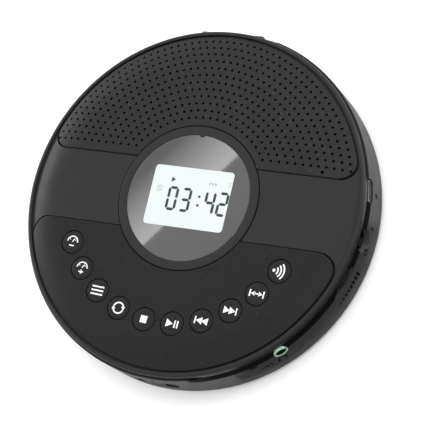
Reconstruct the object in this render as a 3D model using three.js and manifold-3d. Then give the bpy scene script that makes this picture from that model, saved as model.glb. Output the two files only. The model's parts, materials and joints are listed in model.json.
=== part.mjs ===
// Portable CD player with a hinged lid, two small speakers, a round display window and ten buttons.
// Millimetres, +Z up. The origin is on the axis of the round case, at the underside of the feet.
// The buttons are towards -Y, the speaker grille towards +Y, the sockets and side controls towards +X.
import * as THREE from "three";
import { mergeVertices } from "three/addons/utils/BufferGeometryUtils.js";
import Module from "manifold-3d";

const wasm = await Module();
wasm.setup();

// Case
const GAP = 0.3; // air between neighbouring pieces
const CASE_R = 73.9; // outside of the base
const WALL = 1.8;
const INNER_R = CASE_R - WALL;
const FOOT_H = 1.5; // height of the base's underside
const FLOOR_Z = FOOT_H + WALL;
const BOTTOM_FILLET = 2;
const RIM_Z = 21.2; // top of the base's rim
const RIM_INNER_R = 73.5;
const RIM_CHAMFER = 0.2;
const LEDGE_Z = 20.2; // ledge inside the rim, level with the deck round the disc well
const ROUND = 48; // sides of the large circles
const SMALL = 16; // sides of the small ones

// Lid
const LID_R = 73;
const LID_Z = 20.6; // underside of the lid
const TOP_Z = 27; // flat top of the two panels
const LIP_INNER_R = 71.1; // the groove round the panels lies between this and PANEL_R
const PANEL_R = 70.4;
const PANEL_Y = 15.06; // straight edge of each panel
const PANEL_CORNER = 7;
const PANEL_T = 1.4;
const SHOULDER_R = 57; // the panels are flat inside this radius and fall away outside it
const SHOULDER_FALL = 0.0176; // drop per square millimetre beyond the shoulder
const BAND_Z = 26.6; // top of the band between the panels
const BAND_T = 1.4;
const COVER_T = 1;
const WINDOW_R = 26.6;
const BEZEL_R = 30.2;
const SEAT_R = 25.2; // opening under the window
const SEAT_Z = 25.2;
const NOTCH_R = 1.2; // half-round notch in the window's edge
const BEZEL_SIDES = 36;

// Hinge at the rear
const HINGE_Y = 71.6;
const HINGE_Z = 20.9;
const KNUCKLE_R = 1.5;
const KNUCKLE_BORE = 0.85;
const PIN_R = 0.6;
const LUG_Z = 16; // underside of the lugs that carry the base's knuckles
const KNUCKLE_ROOM_R = 2.15; // the lid is cut back this far round the base's knuckles
const LID_KNUCKLE_X = 7.6;
const BASE_KNUCKLE_X = [8.2, 13.4];
const HINGE_HALF = 16.5; // half width of the clearance for the hinge

// Buttons
const BUTTON_R = 4.7;
const BUTTON_CIRCLE_R = 52.06;
const BUTTON_STEP = 13.7; // degrees between neighbouring buttons
const BUTTON_HOLE_R = 5;
const BUTTON_NAMES = [
  "speed_down",
  "speed_up",
  "function",
  "mode",
  "stop",
  "play_pause",
  "previous",
  "next",
  "repeat",
  "wireless",
];

// Disc well and drive, about a spindle set back from the sockets
const SPINDLE = [-4.4, 2.6];
const WELL_R = 61.5;
const WELL_WALL = 1.2;
const DECK_Z = 14.3; // floor of the disc well
const DECK_T = 1.2;
const DECK_R = INNER_R - GAP;
const DISC_SEAT_Z = 16.6;
const FRAME_Z = 12.4; // top of the drive's frame
const FRAME_T = 1.5;
const DRIVE_Z = 8.4; // height of the guide rod and the lead screw
const RAIL_X = 17; // rod and screw lie this far each side of the spindle
const LENS_START = 23.5; // lens to spindle, parked
const SPINDLE_MOTOR_R = 12;
const SLED_MOTOR_R = 4;
const ROD_R = 1;
const LEAD_SCREW_R = 1.2;
const FRAME_REACH_R = 70.8; // the frame's long end follows the wall
const FRAME_BOTTOM_Z = 9; // cuts in the frame start below it
const FRAME_CUT_Z = [FRAME_BOTTOM_Z, 13];
const HUB_HOLE_R = 17;
const PICKUP_SLOT = { half: 9, end: -61.1 };
const SLED_HALF = 8; // half the length of the pickup sled, along its travel
const BALLS = { degs: [90, 210, 330], r: 1, out: 6.8, z: 18.35, pocket: 1.25 };
const DAMPERS = [
  [22.4, 14],
  [-22.4, 14],
  [22.7, -48],
]; // places of the rubber mounts, from the spindle

// Side sockets and controls: angle round the case and height
const HEADPHONE = { deg: -47.3, z: 17.1 };
const AUX = { deg: -57.3, z: 17 };
const USB = { deg: 11, z: 18 };
const WHEEL = { deg: -18, z: 17.4, r: 7.3, centre: 66.4 };
const SWITCH = { deg: -4.5, z: 18.7 };
const OPENER = { deg: -90.75, z: 12 };
const LID_SWITCH = { deg: 62, r: 66.8 };
const JACK_BORE = 1.75;
const BOARD_Z = 12.7; // top of the main board
const BOARD_T = 1.2;

const SCREWS = [
  [-45, 42],
  [-45, -38],
  [33, -33],
  [33, 38],
];
const SCREW = { head: 2.4, shank: 1.1, hole: 1.4, post: 3.6, headRoom: 2.8, headRoomZ: 3.9, tipZ: 12 };
const FEET = { degs: [30, 150, 210, 330], at: 60, r: 5, sunk: 0.5 };
const SOCKET_Z = [12.9, 19.7]; // pockets in the deck round the sockets and controls, closed above
const THROUGH_Z = [12.9, 21]; // those that are open above
const LID_CUT_Z = [20, 28]; // cuts through the whole lid

// ---------------------------------------------------------------- shapes

const rad = (deg) => (deg * Math.PI) / 180;
const polar = (r, deg) => [r * Math.cos(rad(deg)), r * Math.sin(rad(deg))];

// A closed three.js geometry as a manifold solid.
function solid(geometry) {
  const bare = geometry.clone();
  bare.deleteAttribute("normal");
  bare.deleteAttribute("uv");
  const merged = mergeVertices(bare, 1e-4);
  const index = merged.index.array;
  const triangles = [];
  for (let i = 0; i < index.length; i += 3) {
    const [a, b, c] = index.slice(i, i + 3);
    if (a !== b && b !== c && a !== c) triangles.push(a, b, c);
  }
  const vertProperties = merged.attributes.position.array;
  const triVerts = new Uint32Array(triangles);
  return new wasm.Manifold(new wasm.Mesh({ numProp: 3, vertProperties, triVerts }));
}

const join = (first, ...rest) => rest.reduce((sum, s) => sum.add(s), first);
const cut = (first, ...rest) => rest.reduce((left, s) => left.subtract(s), first);

function box(x, y, z) {
  const g = new THREE.BoxGeometry(x[1] - x[0], y[1] - y[0], z[1] - z[0]);
  g.translate((x[0] + x[1]) / 2, (y[0] + y[1]) / 2, (z[0] + z[1]) / 2);
  return solid(g);
}

// An upright cylinder about [x, y], from z[0] to z[1].
function rod(r, z, [x, y] = [0, 0], sides = SMALL) {
  const g = new THREE.CylinderGeometry(r, r, z[1] - z[0], sides);
  g.rotateX(Math.PI / 2);
  g.translate(x, y, (z[0] + z[1]) / 2);
  return solid(g);
}

// A cylinder along X ("x") or Y ("y") between two places on that axis.
function bar(axis, r, span, [across, z], sides = SMALL) {
  const g = new THREE.CylinderGeometry(r, r, span[1] - span[0], sides);
  const middle = (span[0] + span[1]) / 2;
  if (axis === "x") {
    g.rotateZ(Math.PI / 2);
    g.translate(middle, across, z);
  } else {
    g.translate(across, middle, z);
  }
  return solid(g);
}

// A [radius, height] outline turned about Z, anticlockwise from axis to axis or round to its start.
function turned(outline, sides = ROUND, [x, y] = [0, 0]) {
  const closed = outline[0][0] > 0;
  const points = (closed ? [...outline, outline[0]] : outline).map(([r, z]) => new THREE.Vector2(r, z));
  const g = new THREE.LatheGeometry(points, sides);
  g.rotateX(Math.PI / 2);
  g.translate(x, y, 0);
  return solid(g);
}

// A flat outline of [x, y] points, pulled up from z[0] to z[1].
function plate(points, z) {
  const shape = new THREE.Shape(points.map(([x, y]) => new THREE.Vector2(x, y)));
  const g = new THREE.ExtrudeGeometry(shape, { depth: z[1] - z[0], bevelEnabled: false });
  g.translate(0, 0, z[0]);
  return solid(g);
}

function arc([cx, cy], r, from, to, steps) {
  const points = [];
  for (let i = 0; i <= steps; i++) {
    const [x, y] = polar(r, from + ((to - from) * i) / steps);
    points.push([cx + x, cy + y]);
  }
  return points;
}

// A wedge of a ring, between two radii and two angles.
function sector(r, deg, z, steps = 24) {
  const outside = arc([0, 0], r[1], deg[0], deg[1], steps);
  const inside = arc([0, 0], r[0], deg[1], deg[0], steps);
  return plate([...outside, ...inside], z);
}

// Turns a solid built at angle 0, where X is radial and Y is tangential, to its place round the case.
const around = (deg, s) => s.rotate([0, 0, deg]);
const atSpindle = (s) => s.translate([SPINDLE[0], SPINDLE[1], 0]);

const materials = {
  shell: { color: 0x3b3b3d, roughness: 0.55, metalness: 0 },
  base: { color: 0x47474a, roughness: 0.55, metalness: 0 },
  panel: { color: 0x363638, roughness: 0.5, metalness: 0 },
  grille: { color: 0x444446, roughness: 0.6, metalness: 0 },
  button: { color: 0x303032, roughness: 0.6, metalness: 0 },
  window: { color: 0x757575, roughness: 0.1, metalness: 0 },
  lcd: { color: 0xf7ffff, roughness: 0.4, metalness: 0 },
  black: { color: 0x18181a, roughness: 0.6, metalness: 0 },
  rubber: { color: 0x222224, roughness: 0.9, metalness: 0 },
  ring: { color: 0xbfe0c8, roughness: 0.4, metalness: 0 },
  steel: { color: 0xb8bbc0, roughness: 0.3, metalness: 1 },
  board: { color: 0x1f5c3a, roughness: 0.6, metalness: 0 },
  battery: { color: 0x5a6472, roughness: 0.5, metalness: 0 },
  cone: { color: 0x26262a, roughness: 0.8, metalness: 0 },
  lens: { color: 0x9fc4d8, roughness: 0.05, metalness: 0 },
};

const player = new THREE.Group();
player.name = "portable_cd_player";

// Adds a solid to the player as a named mesh.
function add(name, s, finish) {
  const made = s.getMesh();
  const g = new THREE.BufferGeometry();
  g.setAttribute("position", new THREE.BufferAttribute(new Float32Array(made.vertProperties), 3));
  g.setIndex(new THREE.BufferAttribute(new Uint32Array(made.triVerts), 1));
  const flat = g.toNonIndexed();
  flat.computeVertexNormals();
  const mesh = new THREE.Mesh(flat, new THREE.MeshStandardMaterial(materials[finish]));
  mesh.name = name;
  player.add(mesh);
}

// ---------------------------------------------------------------- base

// Posts with a counterbore from below, one for each case screw.
function screwPosts() {
  return SCREWS.map((at) => rod(SCREW.post, [FLOOR_Z - GAP, 8], at));
}

function screwBores() {
  return SCREWS.map((at) => {
    const headRoom = rod(SCREW.headRoom, [FOOT_H - 1, SCREW.headRoomZ], at);
    return join(headRoom, rod(SCREW.hole, [SCREW.headRoomZ - 0.9, 8.5], at));
  });
}

// Lugs for the two outer knuckles of the hinge.
function baseKnuckles() {
  return [-1, 1].map((side) => {
    const x = BASE_KNUCKLE_X.map((v) => v * side).sort((a, b) => a - b);
    const lug = box(x, [HINGE_Y - KNUCKLE_R, HINGE_Y + KNUCKLE_R], [LUG_Z, HINGE_Z]);
    return join(lug, bar("x", KNUCKLE_R, x, [HINGE_Y, HINGE_Z]));
  });
}

function baseShell() {
  const corner = arc([CASE_R - BOTTOM_FILLET, FOOT_H + BOTTOM_FILLET], BOTTOM_FILLET, -90, 0, 4);
  const tub = turned([
    [0, FOOT_H],
    ...corner,
    [CASE_R, RIM_Z - RIM_CHAMFER],
    [CASE_R - RIM_CHAMFER, RIM_Z],
    [RIM_INNER_R, RIM_Z],
    [RIM_INNER_R, LEDGE_Z],
    [INNER_R, LEDGE_Z],
    [INNER_R, FLOOR_Z],
    [0, FLOOR_Z],
  ]);
  const footPockets = feetPlaces().map((at) => rod(FEET.r + GAP, [FOOT_H - 1, FOOT_H + FEET.sunk], at));
  const boardPosts = [
    [58, 22],
    [50, -40],
  ].map((at) => rod(2, [FLOOR_Z - GAP, BOARD_Z - BOARD_T - GAP], at, 12));

  // The rim leans in under the lid along the sockets and side controls.
  const lean = turned([
    [74.6, 16.65],
    [74.6, 22],
    [71.6, 22],
    [71.6, 21.55],
  ]).intersect(sector([60, 80], [-66, 6], [16, 23]));

  const openings = [
    around(HEADPHONE.deg, bar("x", 3.2, [70, 76], [0, HEADPHONE.z])),
    around(AUX.deg, bar("x", JACK_BORE, [70, 76], [0, AUX.z])),
    around(USB.deg, box([70, 76], [-4.6, 4.6], [16, 23])),
    around(WHEEL.deg, box([70, 76], [-5.5, 5.5], [WHEEL.z - 0.4, 23])),
    around(SWITCH.deg, box([70, 76], [-3.4, 3.4], [SWITCH.z - 1.4, 23])),
    around(SWITCH.deg, bar("x", 4.4, [73, 76], [0, SWITCH.z])),
    around(OPENER.deg, box([72.8, 76], [-9.3, 9.3], [OPENER.z - 3, OPENER.z + 3])),
    around(OPENER.deg, box([70, 76], [-2.6, 5.6], [OPENER.z - 1.2, OPENER.z + 1.2])),
  ];
  const hingeRoom = box([-HINGE_HALF, HINGE_HALF], [69, 76], [HINGE_Z - 2.4, 23]);
  const bodied = join(tub, ...screwPosts(), ...boardPosts);
  const opened = cut(bodied, ...screwBores(), ...footPockets, lean, ...openings, hingeRoom);
  return cut(join(opened, ...baseKnuckles()), bar("x", KNUCKLE_BORE, [-20, 20], [HINGE_Y, HINGE_Z], 12));
}

function feetPlaces() {
  return FEET.degs.map((deg) => polar(FEET.at, deg));
}

function addFeet() {
  const z = [0, FOOT_H + FEET.sunk - GAP];
  feetPlaces().forEach((at, i) => add(`foot_${i + 1}`, rod(FEET.r, z, at), "rubber"));
}

function addScrews() {
  SCREWS.forEach((at, i) => {
    const cross = [box([-1.4, 1.4], [-0.3, 0.3], [1, 2.6]), box([-0.3, 0.3], [-1.4, 1.4], [1, 2.6])];
    const recess = join(...cross).translate([at[0], at[1], 0]);
    const head = rod(SCREW.head, [1.9, SCREW.headRoomZ - GAP], at, 12);
    const screw = join(head, rod(SCREW.shank, [3.5, SCREW.tipZ], at, 8));
    add(`case_screw_${i + 1}`, cut(screw, recess), "steel");
  });
}

// The tray that carries the disc well, with pockets for the sockets and controls behind the wall.
function discDeck() {
  const collar = cut(
    join(rod(DECK_R, [19, LEDGE_Z], [0, 0], ROUND), rod(DECK_R, [16, 19.1], [0, 0], ROUND)),
    rod(DECK_R - WELL_WALL, [15, 19], [0, 0], ROUND),
    rod(WELL_R + 0.6, [15, 21], SPINDLE, ROUND),
  );
  const tub = turned(
    [
      [0, DECK_Z - DECK_T],
      [WELL_R + WELL_WALL, DECK_Z - DECK_T],
      [WELL_R + WELL_WALL, LEDGE_Z],
      [WELL_R, LEDGE_Z],
      [WELL_R, DECK_Z],
      [0, DECK_Z],
    ],
    ROUND,
    SPINDLE,
  );
  const posts = SCREWS.map((at) => rod(2.8, [8.3, DECK_Z - DECK_T + 0.2], at));
  const threads = SCREWS.map((at) => rod(SCREW.hole, [8, SCREW.tipZ + 0.5], at, 12));
  const deckCutZ = [DECK_Z - DECK_T - 1, DECK_Z + 1];
  const pickupSlot = atSpindle(box([-PICKUP_SLOT.half, PICKUP_SLOT.half], [PICKUP_SLOT.end, 0], deckCutZ));
  const hubHole = rod(HUB_HOLE_R, deckCutZ, SPINDLE, ROUND);
  const pockets = [
    around(HEADPHONE.deg, box([58.6, 73], [-3.6, 3.6], SOCKET_Z)),
    around(AUX.deg, box([58.6, 73], [-3.4, 3.4], SOCKET_Z)),
    around(USB.deg, box([62.6, 73], [-5.2, 5.2], THROUGH_Z)),
    around(SWITCH.deg, box([61.5, 73], [-4.6, 4.6], THROUGH_Z)),
    rod(WHEEL.r + 0.5, SOCKET_Z, polar(WHEEL.centre, WHEEL.deg), 32),
    around(WHEEL.deg, box([66, 73], [-6.2, 6.2], SOCKET_Z)),
    around(OPENER.deg, box([69.4, 73], [-6, 9], THROUGH_Z)),
    rod(1.2, [18, 21], polar(LID_SWITCH.r, LID_SWITCH.deg), 12),
  ];
  const hingeRoom = box([-HINGE_HALF, HINGE_HALF], [69.2, 76], [12, 23]);
  return cut(join(collar, tub, ...posts), ...threads, pickupSlot, hubHole, ...pockets, hingeRoom);
}

// ---------------------------------------------------------------- drive

function driveFrame() {
  const z = [FRAME_Z - FRAME_T, FRAME_Z];
  const outline = atSpindle(box([-25, 25], [-70, 22], z)).intersect(rod(FRAME_REACH_R, z, [0, 0], ROUND));
  const lugZ = [DRIVE_Z - 2.2, FRAME_Z - 0.5];
  const lugs = [
    box([RAIL_X - 2.6, RAIL_X + 2.6], [-69.3, -66.4], lugZ),
    box([RAIL_X - 2.6, RAIL_X + 2.6], [-13.8, -11.4], lugZ),
    box([-RAIL_X - 2.6, -RAIL_X + 2.6], [-69.3, -66.4], lugZ),
  ];
  const holes = [
    box([-20, 20.6], [-66.4, -13.8], FRAME_CUT_Z),
    box([-21.4, -12.6], [-13.9, 6.4], FRAME_CUT_Z),
    rod(2.4, FRAME_CUT_Z),
    bar("y", ROD_R + GAP, [-75, -5], [RAIL_X, DRIVE_Z], 12),
    bar("y", LEAD_SCREW_R + GAP, [-75, -60], [-RAIL_X, DRIVE_Z], 12),
    ...DAMPERS.map((at) => rod(1.9, FRAME_CUT_Z, at)),
  ];
  return cut(join(outline, ...lugs.map(atSpindle)), ...holes.map(atSpindle));
}

function addDampers() {
  const outline = [
    [0, 9.6],
    [2.2, 9.6],
    [2.2, 10.6],
    [1.5, 10.6],
    [1.5, 12.65],
    [2.2, 12.65],
    [2.2, 12.9],
    [0, 12.9],
  ];
  DAMPERS.forEach((at, i) => add(`damper_${i + 1}`, atSpindle(turned(outline, 10, at)), "rubber"));
}

// Turntable: a shaft, a platter that carries the disc and a boss with three ball pockets.
function hub() {
  const body = turned(
    [
      [0, 10.8],
      [1, 10.8],
      [1, 13],
      [5, 13],
      [5, 15.2],
      [14.6, 15.4],
      [15, 15.6],
      [15, DISC_SEAT_Z],
      [7.3, DISC_SEAT_Z],
      [7.3, 19.1],
      [6.4, 19.9],
      [0, 19.9],
    ],
    24,
  );
  const pockets = BALLS.degs.map((deg) => around(deg, bar("x", BALLS.pocket, [4.4, 9], [0, BALLS.z], 8)));
  return atSpindle(cut(body, ...pockets));
}

function ball(deg) {
  const g = new THREE.SphereGeometry(BALLS.r, 10, 6);
  g.translate(BALLS.out, 0, BALLS.z);
  return atSpindle(around(deg, solid(g)));
}

function pickupSled() {
  const back = -LENS_START + SLED_HALF;
  const front = -LENS_START - SLED_HALF;
  const body = box([-13, 13], [front, back], [6, 11.8]);
  const head = box([-7, 7], [-LENS_START - 3.5, -LENS_START + 3.5], [11.7, 14.6]);
  const bush = box([12.9, 19.8], [front + 1.5, back - 1.5], [DRIVE_Z - 2.2, DRIVE_Z + 2.2]);
  const nut = box([-15.3, -12.9], [-LENS_START - 2.5, -LENS_START + 2.5], [7, 10]);
  const bore = bar("y", ROD_R + 0.35, [-60, 0], [RAIL_X, DRIVE_Z], 12);
  const lensWell = rod(2.9, [13.2, 15], [0, -LENS_START]);
  return atSpindle(cut(join(body, head, bush, nut), bore, lensWell));
}

function lens() {
  const outline = [
    [0, 13.9],
    [2.2, 13.9],
    [2.2, 14.7],
    [1.6, 15],
    [0.8, 15.15],
    [0, 15.2],
  ];
  return atSpindle(turned(outline, 20, [0, -LENS_START]));
}

function addDrive() {
  add("drive_frame", driveFrame(), "black");
  addDampers();
  add("spindle_motor", rod(SPINDLE_MOTOR_R, [4.2, 10.6], SPINDLE, 32), "steel");
  add("sled_motor", atSpindle(bar("y", SLED_MOTOR_R, [-11, 6], [-RAIL_X, DRIVE_Z], 20)), "steel");
  add("guide_rod", atSpindle(bar("y", ROD_R, [-69.2, -11.5], [RAIL_X, DRIVE_Z], 12)), "steel");
  add("lead_screw", atSpindle(bar("y", LEAD_SCREW_R, [-69, -11.3], [-RAIL_X, DRIVE_Z], 12)), "steel");
  add("pickup_sled", pickupSled(), "black");
  add("pickup_lens", lens(), "lens");
  add("turntable_hub", hub(), "black");
  BALLS.degs.forEach((deg, i) => add(`clamp_ball_${i + 1}`, ball(deg), "steel"));
}

// ---------------------------------------------------------------- electrics in the base

function mainBoard() {
  const z = [BOARD_Z - BOARD_T, BOARD_Z];
  const edge = 69.2;
  const left = 23.8;
  const half = (Math.acos(left / edge) * 180) / Math.PI;
  const outline = plate(arc([0, 0], edge, -half, half, 40), z);
  const holes = [SCREWS[2], SCREWS[3]].map((at) => rod(4.1, [10, 14], at));
  const parts = [
    box([30, 44], [2, 16], [9.6, 11.6]),
    box([48, 56], [-14, -4], [10, 11.6]),
    box([34, 40], [-22, -14], [9, 11.6]),
    around(SWITCH.deg, box([62, 69], [-4, 4], [12.6, 16.9])),
  ];
  return cut(join(outline, ...parts), ...holes);
}

// A 3.5 mm socket: a block behind the wall, with a nose where its collar needs one.
function jack({ deg, z }, half, nose) {
  const block = box([59.2, INNER_R - GAP], [-half, half], [13, 19.4]);
  const body = nose ? join(block, bar("x", nose, [INNER_R - 1, CASE_R - 0.2], [0, z])) : block;
  return around(deg, cut(body, bar("x", JACK_BORE, [60.5, 76], [0, z])));
}

function headphoneRing() {
  const ring = cut(
    bar("x", 3.05, [72.4, CASE_R - 0.02], [0, HEADPHONE.z], 24),
    bar("x", 2.35, [70, 76], [0, HEADPHONE.z], 24),
  );
  return around(HEADPHONE.deg, ring);
}

function usbSocket() {
  const mount = box([63.2, INNER_R - GAP - 0.2], [-4.3, 4.3], [13, 17]);
  const shell = join(mount, box([63.2, 73.2], [-4.3, 4.3], [16.3, 19.7]));
  const mouth = box([67, 74], [-4, 4], [16.8, 19.3]);
  const tongue = box([66.9, 72.4], [-3.2, 3.2], [17.7, 18.4]);
  return around(USB.deg, join(cut(shell, mouth), tongue));
}

function addElectrics() {
  add("main_board", mainBoard(), "board");
  add("battery_pack", box([-64, -33], [-24, 24], [3.7, 9.7]), "battery");
  add("headphone_jack", jack(HEADPHONE, 3.2, 2.1), "black");
  add("headphone_ring", headphoneRing(), "ring");
  add("aux_jack", jack(AUX, 3), "black");
  add("usb_socket", usbSocket(), "steel");
  const pot = box([WHEEL.centre - 4.5, WHEEL.centre + 4.5], [-4.5, 4.5], [13, WHEEL.z - 0.4]);
  add("volume_pot", around(WHEEL.deg, pot), "black");
  const [sx, sy] = polar(LID_SWITCH.r, LID_SWITCH.deg);
  add("lid_switch_body", box([sx - 3, sx + 3], [sy - 2.5, sy + 2.5], [13.4, 15.8]), "black");
  add("lid_switch_plunger", rod(0.9, [16.9, LID_Z - 0.15], [sx, sy], 12), "black");
}

// ---------------------------------------------------------------- controls on the wall

function volumeWheel() {
  return rod(WHEEL.r, [WHEEL.z, WHEEL.z + 2], polar(WHEEL.centre, WHEEL.deg), 40);
}

function powerSwitch() {
  const knob = box([70.4, 73.6], [-3, 0.6], [SWITCH.z - 1.1, SWITCH.z + 1.1]);
  const stem = box([65.5, 70.5], [-2.2, -0.2], [SWITCH.z - 1.1, SWITCH.z + 0.4]);
  return around(SWITCH.deg, join(knob, stem));
}

// Thumb plate outside the wall, a shank through it and a latch bar that reaches up to the lid.
function openSlider() {
  const { deg, z } = OPENER;
  const thumb = box([73.1, 73.8], [-5.5, 3.5], [z - 2.4, z + 2.4]);
  const shank = box([70.2, 73.2], [-2, 1], [z - 0.9, z + 0.9]);
  const latch = box([69.9, 71.2], [-5, 2.6], [z - 2.4, 20.3]);
  const hook = box([69.9, 71.2], [-5, -2], [20.2, 21.4]);
  return around(deg, join(thumb, shank, latch, hook));
}

// ---------------------------------------------------------------- lid

function shoulder(r) {
  return TOP_Z - SHOULDER_FALL * Math.max(0, r - SHOULDER_R) ** 2;
}

// Outline of a panel, or of the opening it lies in: a straight edge, two rounded corners and the lid's arc.
function panelOutline(edgeY, arcR, corner) {
  const y = edgeY + corner;
  const x = Math.sqrt((arcR - corner) ** 2 - y * y);
  const end = (Math.atan2(y, x) * 180) / Math.PI;
  return [
    ...arc([x, y], corner, -90, end, 6),
    ...arc([0, 0], arcR, end, 180 - end, 30).slice(1),
    ...arc([-x, y], corner, 180 - end, 270, 6).slice(1),
  ];
}

// A crowned panel for the grille side.
function panel() {
  const top = [SHOULDER_R, 61, 64.5, 68, PANEL_R + 0.5].map((r) => [r, shoulder(r)]);
  const underside = (r) => shoulder(r) - PANEL_T + 0.03 * (r - SHOULDER_R);
  const under = [SHOULDER_R, 64.5, PANEL_R + 0.5].map((r) => [r, underside(r)]);
  const crown = turned([[0, TOP_Z - PANEL_T], ...under, ...top.reverse(), [0, TOP_Z]]);
  const outline = plate(panelOutline(PANEL_Y, PANEL_R, PANEL_CORNER), LID_CUT_Z);
  return cut(crown.intersect(outline), rod(BEZEL_R + 0.5, LID_CUT_Z, [0, 0], BEZEL_SIDES));
}

function buttonPlaces() {
  return BUTTON_NAMES.map((name, i) => ({ name, deg: -90 + (i - 4.5) * BUTTON_STEP }));
}

function buttonPanel() {
  const holes = buttonPlaces().map(({ deg }) => rod(BUTTON_HOLE_R, LID_CUT_Z, polar(BUTTON_CIRCLE_R, deg)));
  return cut(panel().rotate([0, 0, 180]), ...holes);
}

function button(deg) {
  const outline = [
    [0, 24.6],
    [BUTTON_R + 0.65, 24.6],
    [BUTTON_R + 0.65, 25.15],
    [BUTTON_R, 25.15],
    [BUTTON_R, TOP_Z],
    [0, TOP_Z + 0.1],
  ];
  return turned(outline, SMALL, polar(BUTTON_CIRCLE_R, deg));
}

// Lip, ledge, cross band and window seat in one moulding, with the middle knuckle of the hinge.
function lidShell() {
  const lip = turned([
    [71.6, LID_Z],
    [LID_R, LID_Z],
    [LID_R, 22.4],
    [72.75, 23.1],
    [72.3, 23.7],
    [71.7, 24],
    [71.2, 23.9],
    [LIP_INNER_R, 22.55],
    [68.6, 22.55],
    [68.6, 21.9],
    [71.6, 21.9],
  ]);
  const bandTop = [
    [71.4, 23.7],
    [70, 23.3],
    [67.6, 24.3],
    [64.6, 25.8],
    [60, BAND_Z],
  ];
  const bandUnder = bandTop.map(([r, z]) => [r, Math.max(z - BAND_T, 22)]).reverse();
  const crown = turned([[0, BAND_Z - BAND_T], ...bandUnder, ...bandTop, [0, BAND_Z]]);
  const opening = plate(panelOutline(PANEL_Y - GAP, LIP_INNER_R, PANEL_CORNER), LID_CUT_Z);
  const band = cut(crown, opening, opening.rotate([0, 0, 180]));
  const seat = rod(BEZEL_R + 2.8, [SEAT_Z - 0.8, SEAT_Z], [0, 0], BEZEL_SIDES);
  const flange = box([-58, 58], [-PANEL_Y - 1.8, PANEL_Y + 1.8], [SEAT_Z - 0.7, SEAT_Z]);
  const ledge = flange.intersect(rod(SHOULDER_R, LID_CUT_Z, [0, 0], BEZEL_SIDES));
  const knuckle = bar("x", KNUCKLE_R, [-LID_KNUCKLE_X, LID_KNUCKLE_X], [HINGE_Y, HINGE_Z]);
  const rooms = [
    rod(SEAT_R, LID_CUT_Z, [0, 0], BEZEL_SIDES),
    rod(BEZEL_R + 0.4, [SEAT_Z, LID_CUT_Z[1]], [0, 0], BEZEL_SIDES),
    bar("x", KNUCKLE_ROOM_R, [LID_KNUCKLE_X + GAP, BASE_KNUCKLE_X[1] + GAP], [HINGE_Y, HINGE_Z]),
    bar("x", KNUCKLE_ROOM_R, [-BASE_KNUCKLE_X[1] - GAP, -LID_KNUCKLE_X - GAP], [HINGE_Y, HINGE_Z]),
    bar("x", KNUCKLE_BORE, [-20, 20], [HINGE_Y, HINGE_Z], 12),
  ];
  return cut(join(lip, band, seat, ledge, knuckle), ...rooms);
}

function innerCover() {
  return cut(
    rod(71.2, [LID_Z, LID_Z + COVER_T], [0, 0], ROUND),
    box([-HINGE_HALF, HINGE_HALF], [69.4, 76], [20, 23]),
    around(OPENER.deg, box([69.3, 76], [-6, 9], [20, 23])),
  );
}

function bezelRing() {
  const ring = turned(
    [
      [WINDOW_R + GAP, 25.5],
      [BEZEL_R, 25.5],
      [BEZEL_R, TOP_Z - 0.3],
      [BEZEL_R - 0.3, TOP_Z],
      [WINDOW_R + GAP + 0.2, TOP_Z],
      [WINDOW_R + GAP, TOP_Z - 0.2],
    ],
    BEZEL_SIDES,
  );
  return join(ring, rod(NOTCH_R - GAP, [25.6, TOP_Z - 0.2], [0, WINDOW_R + GAP], 16));
}

function displayWindow() {
  const outline = [
    [0, 25.6],
    [WINDOW_R, 25.6],
    [WINDOW_R, TOP_Z - 0.25],
    [WINDOW_R - 0.25, TOP_Z - 0.1],
    [0, TOP_Z - 0.1],
  ];
  return cut(turned(outline, BEZEL_SIDES), rod(NOTCH_R, [25, 28], [0, WINDOW_R + GAP], 16));
}

function addSpeakers() {
  const frame = [
    [0, 21.9],
    [12, 21.9],
    [12, 24.4],
    [10.8, 24.4],
    [10.8, 22.5],
    [0, 22.5],
  ];
  const cone = [
    [0, 22.85],
    [4, 22.85],
    [10.2, 23.6],
    [10.2, 23.95],
    [4, 23.3],
    [0, 23.6],
  ];
  const places = { left: [-26, 45], right: [26, 45] };
  for (const [side, at] of Object.entries(places)) {
    add(`speaker_${side}`, turned(frame, 20, at), "black");
    add(`speaker_cone_${side}`, turned(cone, 20, at), "cone");
  }
}

function addLid() {
  add("lid_shell", lidShell(), "shell");
  add("grille_panel", panel(), "grille");
  add("button_panel", buttonPanel(), "panel");
  add("bezel_ring", bezelRing(), "shell");
  add("display_window", displayWindow(), "window");
  add("lcd_module", box([-19, 20], [-14.7, 14.3], [22.7, SEAT_Z + 0.1]), "lcd");
  add("lid_inner_cover", innerCover(), "black");
  add("key_board", sector([44, 60], [-158, -22], [21.9, 22.9]), "board");
  add("keypad_membrane", sector([45.5, 58.7], [-157.5, -22.5], [23.1, 23.7]), "rubber");
  addSpeakers();
  buttonPlaces().forEach(({ name, deg }) => add(`button_${name}`, button(deg), "button"));
}

// ---------------------------------------------------------------- assembly

add("base_shell", baseShell(), "base");
add("disc_deck", discDeck(), "black");
const pinEnd = BASE_KNUCKLE_X[1] - 0.2;
add("hinge_pin", bar("x", PIN_R, [-pinEnd, pinEnd], [HINGE_Y, HINGE_Z], 12), "steel");
addFeet();
addScrews();
addDrive();
addElectrics();
add("volume_wheel", volumeWheel(), "black");
add("power_switch", powerSwitch(), "black");
add("open_slider", openSlider(), "black");
addLid();

export default player;
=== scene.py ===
import json
import math
import bmesh
import bpy
import numpy as np
from mathutils import Matrix, Vector


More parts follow.
